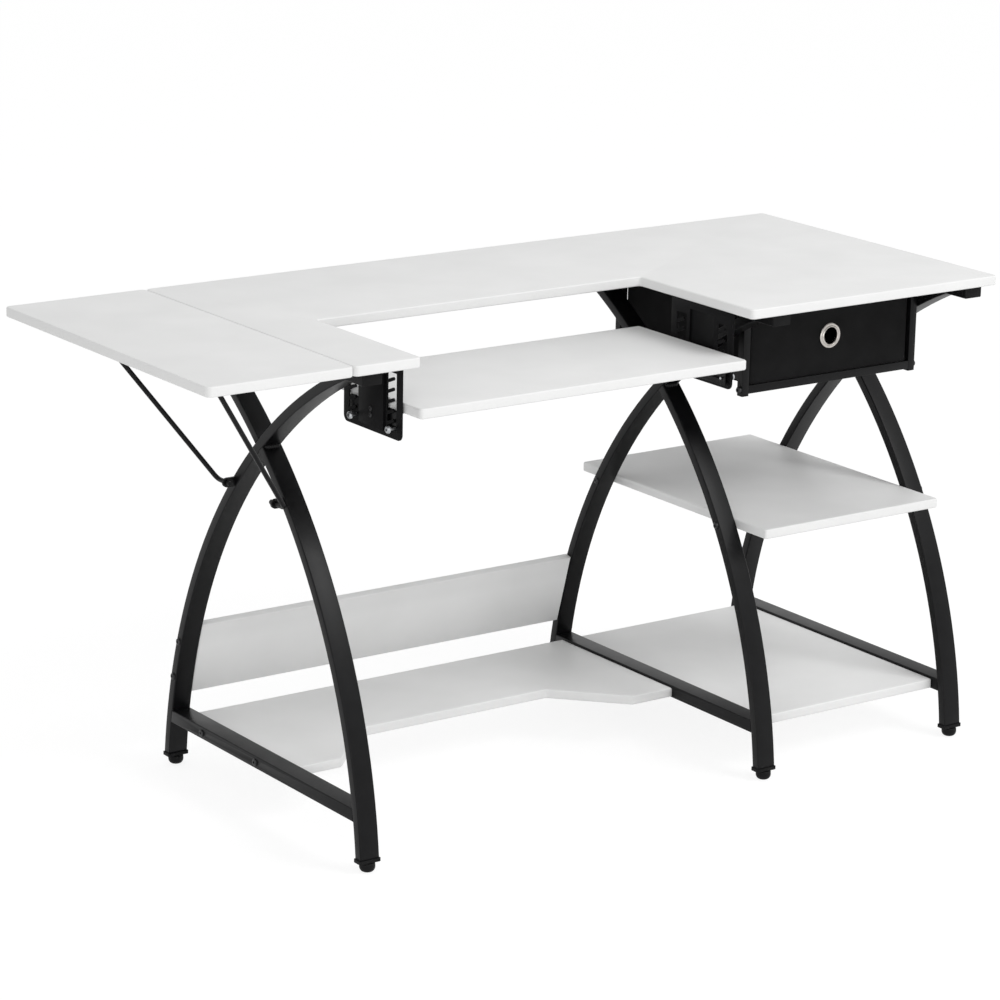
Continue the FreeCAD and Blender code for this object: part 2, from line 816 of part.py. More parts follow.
def frame_bolt_seats():
    """Seat and direction of each bolt that holds a shelf or the back panel to a frame."""
    seats = []
    left_face = left_frame - half_tube
    middle_left_face = middle_frame - half_tube
    middle_right_face = middle_frame + half_tube
    right_face = right_frame + half_tube
    for y in shelf_bolt_places():
        seats.append((point(left_face, y, lower_bolt_height), right))
    front_bolt = front_bolt_share * shelf_depth / 2
    leg = leg_reach(upper_bolt_height)
    for side in (-1, 1):
        seats.append((point(right_face, side * front_bolt, lower_bolt_height), -right))
        seats.append((point(middle_left_face, side * leg, upper_bolt_height), right))
        seats.append((point(right_face, side * leg, upper_bolt_height), -right))
    for share in panel_bolt_shares:
        place = panel_point(share)
        seats.append((place + right * left_face, right))
        seats.append((place + right * middle_right_face, -right))
    return seats


def shelf_studs():
    """Headless studs through the middle lower rail, into the shelves on both sides of it."""
    studs = []
    length = tube_width + stud_reach * 2
    for y in shelf_bolt_places():
        start = point(middle_frame - length / 2, y, lower_bolt_height)
        studs.append(Part.makeCylinder(stud_radius, length, start, right))
    return studs


def stud_holes():
    holes = []
    length = tube_width + (stud_reach + hole_clearance) * 2
    for y in shelf_bolt_places():
        start = point(middle_frame - length / 2, y, lower_bolt_height)
        holes.append(Part.makeCylinder(stud_radius + hole_clearance, length, start, right))
    return holes


def rail_screw_seats():
    seats = []
    for frame_x in frames.values():
        for share in rail_screw_shares:
            seats.append((point(frame_x, share * top_rail_length, rail_underside), up))
    return seats


def hanger_screw_seats():
    seats = []
    inset = hanger_setback + hanger_thickness / 2 + hanger_flange_width / 2
    for x in (well_left - inset, well_right + inset):
        for share in hanger_screw_shares:
            seats.append((point(x, hanger_front + share * hanger_length, underside - hanger_thickness), up))
    return seats


def plate_screw_seats():
    seats = []
    inset = (plate_thickness + plate_flange_width) / 2
    span = plate_front_margin + slot_spacing + plate_rear_margin
    for x in (platform_left + inset, platform_right - inset):
        for share in plate_screw_shares:
            y = pin_places[0] - plate_front_margin + share * span
            seats.append((point(x, y, platform_underside - plate_thickness), up))
    return seats


def frame_screw_seats():
    seats = []
    for x in (drawer_left + post_size / 2, drawer_right - post_size / 2):
        for share in frame_screw_shares:
            seats.append((point(x, drawer_front + share * drawer_frame_depth, underside - post_size), up))
    return seats


def rail_bolt_seats():
    seats = []
    height = cross_rail_bottom + post_size / 2
    for y in (drawer_front + post_size / 2, drawer_back - post_size / 2):
        seats.append((point(drawer_left, y, height), right))
        seats.append((point(drawer_right, y, height), -right))
    return seats


def fasteners(sizes, seats):
    return Part.makeCompound([fastener(sizes, seat, direction) for seat, direction in seats])


def drilled(shape, holes):
    """The piece with every hole that reaches it."""
    near = [hole for hole in holes if shape.BoundBox.intersect(hole.BoundBox)]
    return shape.cut(near) if near else shape


def all_holes():
    """Clearance holes of every fastener, for the boards, tubes and plates that they pass through."""
    holes = stud_holes()
    fixings = [
        (bolt_sizes, frame_bolt_seats()),
        (rail_screw_sizes, rail_screw_seats()),
        (board_screw_sizes, hanger_screw_seats() + plate_screw_seats()),
        (frame_screw_sizes, frame_screw_seats()),
        (rail_bolt_sizes, rail_bolt_seats()),
    ]
    for sizes, seats in fixings:
        holes.extend(fastener_hole(sizes, seat, direction) for seat, direction in seats)
    return holes


def drilled_pieces():
    """Boards, frame tubes, hangers, platform plates and drawer frame, before drilling."""
    pieces = {
        "main_top": main_top(),
        "machine_platform": machine_platform(),
        "left_shelf": left_shelf(),
        "right_lower_shelf": right_shelf(floor_shelf_height, lower_shelf_front_reach),
        "right_upper_shelf": right_shelf(upper_shelf_top, 0),
        "back_panel": back_panel(),
    }
    tubes = frame_tubes()
    for frame_name, frame_x in frames.items():
        for tube_name, tube in tubes.items():
            pieces[frame_name + "_" + tube_name] = tube.translated(right * frame_x)
    pieces["left_hanger"], pieces["right_hanger"] = hangers()
    pieces["left_platform_plate"] = platform_plate()
    pieces["right_platform_plate"] = about_well(platform_plate())
    pieces["drawer_left_side_frame"] = drawer_side_frame()
    pieces["drawer_right_side_frame"] = about_drawer(drawer_side_frame())
    pieces["drawer_front_rail"] = drawer_cross_rail(drawer_front)
    pieces["drawer_back_rail"] = drawer_cross_rail(drawer_back - post_size)
    return pieces


def undrilled_pieces():
    """The leaf, its hinges and support, the feet, the drawer and all fasteners."""
    fixed_plates, leaf_plates, hinge_pins = hinge_groups()
    left_pins = [platform_pin(pin_place) for pin_place in pin_places]
    pieces = {
        "fold_leaf": fold_leaf(),
        "hinge_fixed_plates": fixed_plates,
        "hinge_leaf_plates": leaf_plates,
        "hinge_pins": hinge_pins,
        "leaf_support_wire": leaf_support_wire(),
        "wire_ears": wire_ears(),
        "wire_stops": wire_stops(),
        "rail_end_plugs": rail_end_plugs(),
        "foot_caps": Part.makeCompound([foot_cap().translated(point(x, y, 0)) for name, x, y in foot_places()]),
        "platform_pins": Part.makeCompound(left_pins + [about_well(pin) for pin in left_pins]),
        "drawer_post_plugs": drawer_post_plugs(),
        "drawer_bin": drawer_bin(),
        "drawer_base_board": drawer_base_board(),
        "drawer_grommet": drawer_grommet(),
        "drawer_grommet_washer": drawer_grommet_washer(),
        "frame_bolts": fasteners(bolt_sizes, frame_bolt_seats()),
        "shelf_studs": Part.makeCompound(shelf_studs()),
        "top_rail_screws": fasteners(rail_screw_sizes, rail_screw_seats()),
        "hanger_screws": fasteners(board_screw_sizes, hanger_screw_seats()),
        "platform_screws": fasteners(board_screw_sizes, plate_screw_seats()),
        "drawer_frame_screws": fasteners(frame_screw_sizes, frame_screw_seats()),
        "drawer_rail_bolts": fasteners(rail_bolt_sizes, rail_bolt_seats()),
    }
    for name, x, y in foot_places():
        pieces["glide_" + name] = glide().translated(point(x, y, 0))
    return pieces


def main():
    os.makedirs("parts", exist_ok=True)
    holes = all_holes()
    nodes = undrilled_pieces()
    for name, piece in drilled_pieces().items():
        nodes[name] = drilled(piece, holes)
    for name, shape in nodes.items():
        shape.exportStep("parts/" + name + ".step")
    print(len(nodes), "nodes")


main()
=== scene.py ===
import json
import math
from collections import namedtuple

import bmesh
import bpy
from mathutils import Matrix, Vector
from mathutils.bvhtree import BVHTree


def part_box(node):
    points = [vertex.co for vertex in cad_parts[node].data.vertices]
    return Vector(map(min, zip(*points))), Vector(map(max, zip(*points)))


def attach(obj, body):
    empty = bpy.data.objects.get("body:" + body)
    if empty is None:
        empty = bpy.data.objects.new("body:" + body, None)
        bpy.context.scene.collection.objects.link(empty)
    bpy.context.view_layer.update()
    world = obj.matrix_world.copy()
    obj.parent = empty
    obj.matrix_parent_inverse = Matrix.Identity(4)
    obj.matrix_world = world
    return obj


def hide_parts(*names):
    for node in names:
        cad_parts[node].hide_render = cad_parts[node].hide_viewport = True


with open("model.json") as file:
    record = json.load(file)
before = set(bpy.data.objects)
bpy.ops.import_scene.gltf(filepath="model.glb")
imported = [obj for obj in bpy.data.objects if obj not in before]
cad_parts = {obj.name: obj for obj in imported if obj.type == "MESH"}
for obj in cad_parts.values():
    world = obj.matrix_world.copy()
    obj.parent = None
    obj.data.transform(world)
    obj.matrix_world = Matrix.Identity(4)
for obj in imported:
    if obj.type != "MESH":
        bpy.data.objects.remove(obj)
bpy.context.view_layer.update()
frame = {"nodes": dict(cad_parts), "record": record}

# Sewing desk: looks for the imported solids, in metres. X runs to the right, Y to the back and Z up.

# Camera of the photograph, with its lens and sensor in millimetres
camera_place = (-3.1687, -4.4405, 1.9476)
camera_azimuth = math.radians(-35.31)
camera_elevation = math.radians(15.55)
camera_roll = math.radians(1.06)
camera_lens = 131.5
camera_sensor = 36.0

# Light and floor, with the lamps' power in watts
white = (1.0, 1.0, 1.0, 1.0)
sky_strength = 0.67
surround_strength = 1.0
key_power = 84.0
key_size = 1.8
key_place = (1.9, -3.0, 3.6)
fill_power = 24.0
fill_size = 2.6
fill_place = (-2.2, -3.0, 1.1)
light_target = (0.0, 0.0, 0.45)
floor_size = 30.0
floor_drop = 0.0005
floor_roughness = 0.9
floor_tone_share = 0.97
floor_glow_share = 0.86
floor_shade_share = 0.2

# Edges of the solids
board_bevel = 0.0009
metal_bevel = 0.0006
bevel_steps = 3
bevel_angle = math.radians(25.0)
smooth_angle = math.radians(32.0)
weld_distance = 0.00001
quarter_turn = math.pi / 2

# Grain of the finishes: the size of one mark, its levels of detail, and how much the fine levels show
Grain = namedtuple("Grain", "size detail roughness")
melamine_cloud = Grain(0.11, 3, 0.5)
melamine_grain = Grain(0.00053, 2, 0.5)
coat_dust = Grain(0.03, 5, 0.6)
coat_peel = Grain(0.0009, 2, 0.5)
plastic_cloud = Grain(0.017, 4, 0.5)
plastic_grain = Grain(0.00038, 2, 0.5)
bolt_cloud = Grain(0.0045, 5, 0.5)
zinc_cloud = Grain(0.0055, 4, 0.5)
nickel_cloud = Grain(0.0024, 3, 0.5)
cloth_fibre = Grain(0.0011, 6, 0.7)
cloth_cloud = Grain(0.038, 4, 0.5)
thread_twist = Grain(0.00033, 2, 0.5)
board_fibre = Grain(0.0014, 7, 0.7)
cloth_dot = 0.0016
cloth_dot_scatter_share = 0.12
grain_depth = 0.0002
fibre_depth = 0.0003

# Tones of the finishes, from dark to light, and the part of the grain over which they change
melamine_face_tones = ((0.77, 0.772, 0.768), (0.81, 0.811, 0.808))
# Painted shade: the band tones make the upright edges of a board darker than its level faces
melamine_band_shade_tones = ((0.745, 0.747, 0.743), (0.775, 0.776, 0.773))
coat_tones = ((0.0033, 0.0033, 0.0037), (0.0056, 0.0056, 0.0062))
plastic_tones = ((0.0045, 0.0045, 0.0047), (0.0075, 0.0075, 0.0078))
bolt_tones = ((0.012, 0.012, 0.013), (0.045, 0.045, 0.047))
zinc_tones = ((0.36, 0.375, 0.39), (0.5, 0.51, 0.52))
nickel_tones = ((0.46, 0.43, 0.405), (0.58, 0.55, 0.52))
cloth_tones = ((0.0062, 0.0062, 0.0064), (0.0092, 0.0092, 0.0095))
thread_tones = ((0.012, 0.012, 0.012), (0.03, 0.03, 0.03))
board_tones = ((0.03, 0.024, 0.018), (0.075, 0.06, 0.046))
tone_shares = (0.3, 0.7)
coat_tone_shares = (0.35, 0.75)
bolt_tone_shares = (0.4, 0.8)

# Roughness of the finishes, from least to most where it changes with the grain
melamine_roughness = (0.42, 0.56)
tube_roughness = (0.31, 0.43)
hanger_roughness = (0.42, 0.55)
plastic_roughness = (0.45, 0.62)
bolt_roughness = (0.3, 0.48)
zinc_roughness = (0.24, 0.42)
nickel_roughness = (0.16, 0.26)
cloth_roughness = 0.92
thread_roughness = 0.7
board_roughness = 0.75

# Gloss of the finishes, and how strongly their relief shows
melamine_gloss = 0.3
tube_gloss = 0.158
hanger_gloss = 0.07
plastic_gloss = 0.12
cloth_gloss = 0.1
cloth_sheen = 0.02
cloth_sheen_roughness = 0.6
bolt_metal_share = 0.35
melamine_relief_share = 0.12
coat_relief_share = 0.16
plastic_relief_share = 0.2
cloth_dot_relief_share = 0.35
cloth_fibre_relief_share = 0.25
board_relief_share = 0.2

# Edge band of a board, painted darker as shade on its upright faces: how far the normal rises where the band
# starts, and where it is full
shade_band_start_share = 0.17
shade_band_full_share = 0.08

# Nodes whose powder coat is matt
matt_nodes = ("left_hanger", "right_hanger")

# Small fasteners: the axis that they lie along, and their heads
along_x = 0
along_z = 2
ring_steps = 32
socket_sides = 6
bolt_dome_share = 0.35
dome_turn_shares = (0.35, 0.65, 0.88)
dome_flat_share = 0.55
head_share = 0.9
step_size = 0.0001
socket_radius_share = 0.42
socket_depth_share = 0.85
cross_width_share = 0.2
cross_reach_share = 0.56
cross_depth_share = 0.45

# Screws that only show from near
hinge_screw_radius = 0.0027
hinge_screw_height = 0.0009
hinge_screw_shares = (0.16, 0.5, 0.84)
hinge_screw_inset = 0.0055
hinge_plate = 0.0015
pad_screw_radius = 0.0036
pad_screw_height = 0.0016
pad_screw_rises = (0.034, 0.0245)
pad_face_offset = 0.005

# Glides: a round knob with a rounded sole, on a round stem
glide_sole = 0.0055
glide_dome = 0.0083
glide_dome_steps = 10
glide_shoulder = 0.0117
glide_shoulder_drop = 0.0011
glide_shoulder_round = 0.0009
glide_knob = 0.0137
glide_stem = 0.004
glide_steps = 48

# Weld beads where the leg tubes meet at the crossing
bead_radius = 0.0056
bead_ripple_share = 0.07
bead_ripple_pitch = 0.0038
bead_step = 0.00055
bead_sides = 12
bead_end_inset = 0.0015
bead_reach = 0.0006

# Fabric drawer: its walls bow in, with a few ripples that lean over by an angle
fabric_wall = 0.003
fabric_corner = 0.006
fabric_inner_corner = 0.001
fabric_corner_steps = 5
fabric_rows = 10
fabric_columns = 22
fabric_bow = 0.0014
corner_share = 0.01
ripple_share = 0.25
ripple_count = 3
ripple_lean = 2
hem_height = 0.014
hem_thickness = 0.0009
hem_fold = 0.001
hem_round_share = 0.3
hem_bow_share = 0.4
stitch_length = 0.0034
stitch_pitch = 0.0052
stitch_radius = 0.00042
stitch_drop = 0.0105
stitch_sides = 6
stitch_shares = ((0, 0), (0.7, 0.08), (1, 0.3), (1, 0.7), (0.7, 0.92), (0, 1))

# Grommet and its hole: the lip's shares are of the ring's width and of the lip's height
punch_radius = 0.0147
punch_margin = 0.01
punch_steps = 48
grommet_steps = 72
grommet_hole = 0.013
grommet_barrel = 0.0015
grommet_lip = 0.0025
grommet_lip_shares = ((0, 0), (0.03, 0.4), (0.09, 0.72), (0.17, 0.94), (0.25, 1), (0.33, 0.92), (0.4, 0.7),
                      (0.45, 0.52), (0.5, 0.5), (0.57, 0.6), (0.67, 0.68), (0.78, 0.64), (0.88, 0.48),
                      (0.96, 0.22), (1, 0))


# Parts of the finishes

def new_tree(name):
    """Material with its node tree and shader."""
    material = bpy.data.materials.new(name)
    material.use_nodes = True
    tree = material.node_tree
    return material, tree, tree.nodes["Principled BSDF"]


def noise(tree, grain):
    """Noise over the object's own coordinates, with marks of the grain's size."""
    place = tree.nodes.new("ShaderNodeTexCoord")
    texture = tree.nodes.new("ShaderNodeTexNoise")
    texture.inputs["Scale"].default_value = 1 / grain.size
    texture.inputs["Detail"].default_value = grain.detail
    texture.inputs["Roughness"].default_value = grain.roughness
    tree.links.new(place.outputs["Object"], texture.inputs["Vector"])
    return texture.outputs["Fac"]


def toned(tree, factor, tones, shares=tone_shares):
    """Colour that goes from a dark tone to a light one as a factor grows between two shares."""
    node = tree.nodes.new("ShaderNodeValToRGB")
    for element, share, tone in zip(node.color_ramp.elements, shares, tones):
        element.position = share
        element.color = (*tone, 1)
    tree.links.new(factor, node.inputs["Fac"])
    return node.outputs["Color"]


def spread(tree, factor, limits):
    """A factor from 0 to 1 laid over a range."""
    low, high = limits
    node = tree.nodes.new("ShaderNodeMapRange")
    node.inputs["To Min"].default_value = low
    node.inputs["To Max"].default_value = high
    tree.links.new(factor, node.inputs["Value"])
    return node.outputs["Result"]


def bump(tree, height, strength, distance, normal=None):
    """Relief from a height, over another relief if there is one."""
    node = tree.nodes.new("ShaderNodeBump")
    node.inputs["Strength"].default_value = strength
    node.inputs["Distance"].default_value = distance
    tree.links.new(height, node.inputs["Height"])
    if normal:
        tree.links.new(normal, node.inputs["Normal"])
    return node.outputs["Normal"]


def mixed(tree, factor, first, second):
    """One colour going over into another by a factor."""
    node = tree.nodes.new("ShaderNodeMix")
    node.data_type = "RGBA"
    tree.links.new(factor, node.inputs["Factor"])
    tree.links.new(first, node.inputs["A"])
    tree.links.new(second, node.inputs["B"])
    return node.outputs["Result"]


def upright_factor(tree):
    """1 on upright faces, such as a board's edge band with its painted shade, and 0 on level ones."""
    geometry = tree.nodes.new("ShaderNodeNewGeometry")
    split = tree.nodes.new("ShaderNodeSeparateXYZ")
    size = tree.nodes.new("ShaderNodeMath")
    size.operation = "ABSOLUTE"
    node = tree.nodes.new("ShaderNodeMapRange")
    node.inputs["From Min"].default_value = shade_band_start_share
    node.inputs["From Max"].default_value = shade_band_full_share
    tree.links.new(geometry.outputs["Normal"], split.inputs["Vector"])
    tree.links.new(split.outputs["Z"], size.inputs[0])
    tree.links.new(size.outputs["Value"], node.inputs["Value"])
    return node.outputs["Result"]


# Finishes

def white_melamine():
    """Satin white board with a fine pearl grain, and a slightly darker band round its edges: the edge band,
    with painted shade on its upright faces.
    """
    material, tree, shader = new_tree("white_melamine")
    cloud = noise(tree, melamine_cloud)
    face = toned(tree, cloud, melamine_face_tones)
    # Painted shade on the upright faces, as a darker edge band
    shaded_band = toned(tree, cloud, melamine_band_shade_tones)
    upright = upright_factor(tree)
    tree.links.new(mixed(tree, upright, face, shaded_band), shader.inputs["Base Color"])
    grain = noise(tree, melamine_grain)
    tree.links.new(spread(tree, grain, melamine_roughness), shader.inputs["Roughness"])
    tree.links.new(bump(tree, grain, melamine_relief_share, grain_depth), shader.inputs["Normal"])
    shader.inputs["Specular IOR Level"].default_value = melamine_gloss
    return material


def powder_coat(name, roughness, gloss):
    """Black powder coat: fine orange peel with a little dust, more or less glossy."""
    material, tree, shader = new_tree(name)
    dust = noise(tree, coat_dust)
    tree.links.new(toned(tree, dust, coat_tones, coat_tone_shares), shader.inputs["Base Color"])
    peel = noise(tree, coat_peel)
    tree.links.new(spread(tree, dust, roughness), shader.inputs["Roughness"])
    tree.links.new(bump(tree, peel, coat_relief_share, grain_depth), shader.inputs["Normal"])
    shader.inputs["Specular IOR Level"].default_value = gloss
    return material


def moulded_plastic():
    """Matt black plastic with a spark-eroded grain."""
    material, tree, shader = new_tree("moulded_plastic")
    cloud = noise(tree, plastic_cloud)
    tree.links.new(toned(tree, cloud, plastic_tones), shader.inputs["Base Color"])
    grain = noise(tree, plastic_grain)
    tree.links.new(spread(tree, grain, plastic_roughness), shader.inputs["Roughness"])
    tree.links.new(bump(tree, grain, plastic_relief_share, grain_depth), shader.inputs["Normal"])
    shader.inputs["Specular IOR Level"].default_value = plastic_gloss
    return material


def clouded_metal(name, cloud, tones, roughness, metal_share=1, shares=tone_shares):
    """Bare or blackened metal, whose tone and roughness change together in small clouds."""
    material, tree, shader = new_tree(name)
    factor = noise(tree, cloud)
    tree.links.new(toned(tree, factor, tones, shares), shader.inputs["Base Color"])
    tree.links.new(spread(tree, factor, roughness), shader.inputs["Roughness"])
    shader.inputs["Metallic"].default_value = metal_share
    return material


def bonded_fabric():
    """Black bonded cloth: matt, with rows of small pressed dots and loose fibres."""
    material, tree, shader = new_tree("bonded_fabric")
    cloud = noise(tree, cloth_cloud)
    tree.links.new(toned(tree, cloud, cloth_tones), shader.inputs["Base Color"])
    place = tree.nodes.new("ShaderNodeTexCoord")
    dots = tree.nodes.new("ShaderNodeTexVoronoi")
    dots.inputs["Scale"].default_value = 1 / cloth_dot
    dots.inputs["Randomness"].default_value = cloth_dot_scatter_share
    tree.links.new(place.outputs["Object"], dots.inputs["Vector"])
    pressed = bump(tree, dots.outputs["Distance"], cloth_dot_relief_share, fibre_depth)
    fibre = noise(tree, cloth_fibre)
    relief = bump(tree, fibre, cloth_fibre_relief_share, grain_depth, pressed)
    tree.links.new(relief, shader.inputs["Normal"])
    shader.inputs["Roughness"].default_value = cloth_roughness
    shader.inputs["Specular IOR Level"].default_value = cloth_gloss
    shader.inputs["Sheen Weight"].default_value = cloth_sheen
    shader.inputs["Sheen Roughness"].default_value = cloth_sheen_roughness
    return material


def sewing_thread():
    """Black thread with a fine twist."""
    material, tree, shader = new_tree("sewing_thread")
    twist = noise(tree, thread_twist)
    tree.links.new(toned(tree, twist, thread_tones), shader.inputs["Base Color"])
    shader.inputs["Roughness"].default_value = thread_roughness
    return material


def fibre_board():
    """Dark hardboard with short fibres."""
    material, tree, shader = new_tree("fibre_board")
    fibre = noise(tree, board_fibre)
    tree.links.new(toned(tree, fibre, board_tones), shader.inputs["Base Color"])
    tree.links.new(bump(tree, fibre, board_relief_share, fibre_depth), shader.inputs["Normal"])
    shader.inputs["Roughness"].default_value = board_roughness
    return material


materials = {
    "white_board": white_melamine(),
    "black_tube": powder_coat("powder_coat", tube_roughness, tube_gloss),
    "hanger_coat": powder_coat("matt_powder_coat", hanger_roughness, hanger_gloss),
    "black_plastic": moulded_plastic(),
    "black_bolt": clouded_metal("black_oxide", bolt_cloud, bolt_tones, bolt_roughness,
                                bolt_metal_share, bolt_tone_shares),
    "zinc_steel": clouded_metal("zinc_plate", zinc_cloud, zinc_tones, zinc_roughness),
    "black_fabric": bonded_fabric(),
    "base_board": fibre_board(),
    "nickel": clouded_metal("nickel_plate", nickel_cloud, nickel_tones, nickel_roughness),
    "thread": sewing_thread(),
}


# Edges and finishes of the CAD nodes

def smoothing_group():
    """Geometry nodes that weld a mesh and shade it smooth across its shallow edges."""
    group = bpy.data.node_groups.new("smooth_by_angle", "GeometryNodeTree")
    group.interface.new_socket("Geometry", in_out="INPUT", socket_type="NodeSocketGeometry")
    group.interface.new_socket("Geometry", in_out="OUTPUT", socket_type="NodeSocketGeometry")
    start = group.nodes.new("NodeGroupInput")
    weld = group.nodes.new("GeometryNodeMergeByDistance")
    weld.inputs["Distance"].default_value = weld_distance
    angle = group.nodes.new("GeometryNodeInputMeshEdgeAngle")
    compare = group.nodes.new("FunctionNodeCompare")
    compare.data_type = "FLOAT"
    compare.operation = "LESS_EQUAL"
    compare.inputs["B"].default_value = smooth_angle
    edges = group.nodes.new("GeometryNodeSetShadeSmooth")
    edges.domain = "EDGE"
    faces = group.nodes.new("GeometryNodeSetShadeSmooth")
    faces.domain = "FACE"
    end = group.nodes.new("NodeGroupOutput")
    links = group.links
    links.new(start.outputs["Geometry"], weld.inputs["Geometry"])
    links.new(weld.outputs["Geometry"], edges.inputs["Geometry"])
    links.new(angle.outputs["Unsigned Angle"], compare.inputs["A"])
    links.new(compare.outputs["Result"], edges.inputs["Shade Smooth"])
    links.new(edges.outputs["Geometry"], faces.inputs["Geometry"])
    links.new(faces.outputs["Geometry"], end.inputs["Geometry"])
    return group


smoothing = smoothing_group()


def soften(obj, width):
    """Round edges of a small width, or none, and smooth shading, as modifiers."""
    weld = obj.modifiers.new("weld", "WELD")
    weld.merge_threshold = weld_distance
    if width:
        edge = obj.modifiers.new("edges", "BEVEL")
        edge.width = width
        edge.segments = bevel_steps
        edge.limit_method = "ANGLE"
        edge.angle_limit = bevel_angle
    shade = obj.modifiers.new("shading", "NODES")
    shade.node_group = smoothing


def dress_nodes():
    """Gives every CAD node the finish of its material slot."""
    for subpart in frame["record"]["subparts"]:
        node = subpart["node"]
        slot = subpart["material_slot"]
        finish = "hanger_coat" if node in matt_nodes else slot
        obj = frame["nodes"][node]
        obj.data.materials.clear()
        obj.data.materials.append(materials[finish])
        soften(obj, board_bevel if slot == "white_board" else metal_bevel)


# Building new pieces

def islands(node):
    """Points of each separate solid of a node."""
    mesh = bmesh.new()
    mesh.from_mesh(frame["nodes"][node].data)
    bmesh.ops.remove_doubles(mesh, verts=mesh.verts, dist=weld_distance)
    known = set()
    solids = []
    for start in mesh.verts:
        if start in known:
            continue
        known.add(start)
        found = [start]
        corners = []
        while found:
            vertex = found.pop()
            corners.append(vertex.co.copy())
            for edge in vertex.link_edges:
                other = edge.other_vert(vertex)
                if other not in known:
                    known.add(other)
                    found.append(other)
        solids.append(corners)
    mesh.free()
    return solids


def extent(corners):
    """Lowest and highest corner of a group of points."""
    low = Vector([min(corner[axis] for corner in corners) for axis in range(3)])
    high = Vector([max(corner[axis] for corner in corners) for axis in range(3)])
    return low, high


def add_piece(name, mesh, slot, body, *nodes):
    """New object from a bmesh, in its finish, riding on a body and standing for CAD nodes."""
    data = bpy.data.meshes.new(name)
    bmesh.ops.recalc_face_normals(mesh, faces=mesh.faces)
    mesh.to_mesh(data)
    mesh.free()
    obj = bpy.data.objects.new(name, data)
    bpy.context.scene.collection.objects.link(obj)
    data.materials.append(materials[slot])
    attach(obj, body)
    if nodes:
        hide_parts(*nodes)
    return obj


def circle(radius, steps):
    """Points round a circle, or its centre alone if it has no radius."""
    if radius == 0:
        return [(0, 0)]
    points = []
    for step in range(steps):
        angle = math.tau * step / steps
        points.append((radius * math.cos(angle), radius * math.sin(angle)))
    return points


def add_ring(mesh, points, height, turn):
    """Adds points at one height, moved by a matrix."""
    return [mesh.verts.new(turn @ Vector((x, y, height))) for x, y in points]


def join_rings(mesh, first, second):
    """Faces between two closed rings of points, or between a ring and a single point."""
    count = max(len(first), len(second))
    for step in range(count):
        after = (step + 1) % count
        corners = []
        for vertex in (first[step % len(first)], first[after % len(first)],
                       second[after % len(second)], second[step % len(second)]):
            if vertex not in corners:
                corners.append(vertex)
        mesh.faces.new(corners)


def join_all(mesh, rings):
    """Faces between each ring and the next one."""
    for first, second in zip(rings, rings[1:]):
        join_rings(mesh, first, second)


def lathe(mesh, profile, steps, turn):
    """Adds a turned form to a mesh: (radius, height) points about a local Z, moved by a matrix."""
    rings = [add_ring(mesh, circle(radius, steps), height, turn) for radius, height in profile]
    join_all(mesh, rings)


def facing(place, direction):
    """Matrix that lays a local Z along a direction, at a place."""
    turn = Vector((0, 0, 1)).rotation_difference(Vector(direction)).to_matrix().to_4x4()
    return Matrix.Translation(place) @ turn


# Fasteners

def hexagon(radius, steps):
    """Points on a hexagon's outline, as many as a ring has."""
    points = []
    for step in range(steps):
        angle = math.tau * step / steps
        within = (angle % (math.tau / socket_sides)) - math.pi / socket_sides
        reach = radius * math.cos(math.pi / socket_sides) / math.cos(within)
        points.append((reach * math.cos(angle), reach * math.sin(angle)))
    return points


def cross(reach, width, steps):
    """Points on the outline of a cross recess, as many as a ring has."""
    points = []
    for step in range(steps):
        angle = math.tau * step / steps
        along = abs(math.cos(angle))
        across = abs(math.sin(angle))
        longer = max(along, across)
        shorter = min(along, across)
        radius = min(reach / longer, width / max(shorter, width / reach))
        points.append((radius * math.cos(angle), radius * math.sin(angle)))
    return points


def headed(mesh, place, direction, radius, height, kind):
    """Adds a domed screw head with its recess, at a place and along a direction. Returns its lowest ring."""
    turn = facing(place, direction)
    profile = [(radius, 0), (radius, height * bolt_dome_share)]
    for share in dome_turn_shares:
        angle = share * quarter_turn
        rise = bolt_dome_share + (1 - bolt_dome_share) * math.sin(angle)
        reach = dome_flat_share + (1 - dome_flat_share) * math.cos(angle)
        profile.append((radius * reach, height * rise))
    rings = [add_ring(mesh, circle(size, ring_steps), rise, turn) for size, rise in profile]
    if kind == "socket":
        outline = hexagon(radius * socket_radius_share, ring_steps)
        depth = height * socket_depth_share
    else:
        outline = cross(radius * cross_reach_share, radius * cross_width_share, ring_steps)
        depth = height * cross_depth_share
    rings.append(add_ring(mesh, outline, height, turn))
    rings.append(add_ring(mesh, outline, height - depth, turn))
    join_all(mesh, rings)
    mesh.faces.new(rings[-1])
    return rings[0]


def detailed_fasteners(node, axis, kind, slot, body):
    """Fasteners with shaped heads in place of a node's plain ones, which lie along one axis."""
    mesh = bmesh.new()
    for corners in islands(node):
        low, high = extent(corners)
        middle = (low + high) / 2
        across = [other for other in range(3) if other != axis]
        reach = [math.hypot(*(corner[other] - middle[other] for other in across)) for corner in corners]
        radius = max(reach)
        head = [corner[axis] for corner, size in zip(corners, reach) if size > radius * head_share]
        outward = Vector((0, 0, 0))
        outward[axis] = 1 if sum(head) / len(head) > middle[axis] else -1
        height = max(head) - min(head)
        seat = middle.copy()
        seat[axis] = min(head) if outward[axis] > 0 else max(head)
        headed(mesh, seat, outward, radius, height, kind)
        steps = [(corner[axis], size) for corner, size in zip(corners, reach) if size < radius * head_share]
        shank_steps(mesh, seat, outward, axis, radius, steps)
    bmesh.ops.remove_doubles(mesh, verts=mesh.verts, dist=weld_distance)
    obj = add_piece(node + "_detailed", mesh, slot, body, node)
    soften(obj, 0)


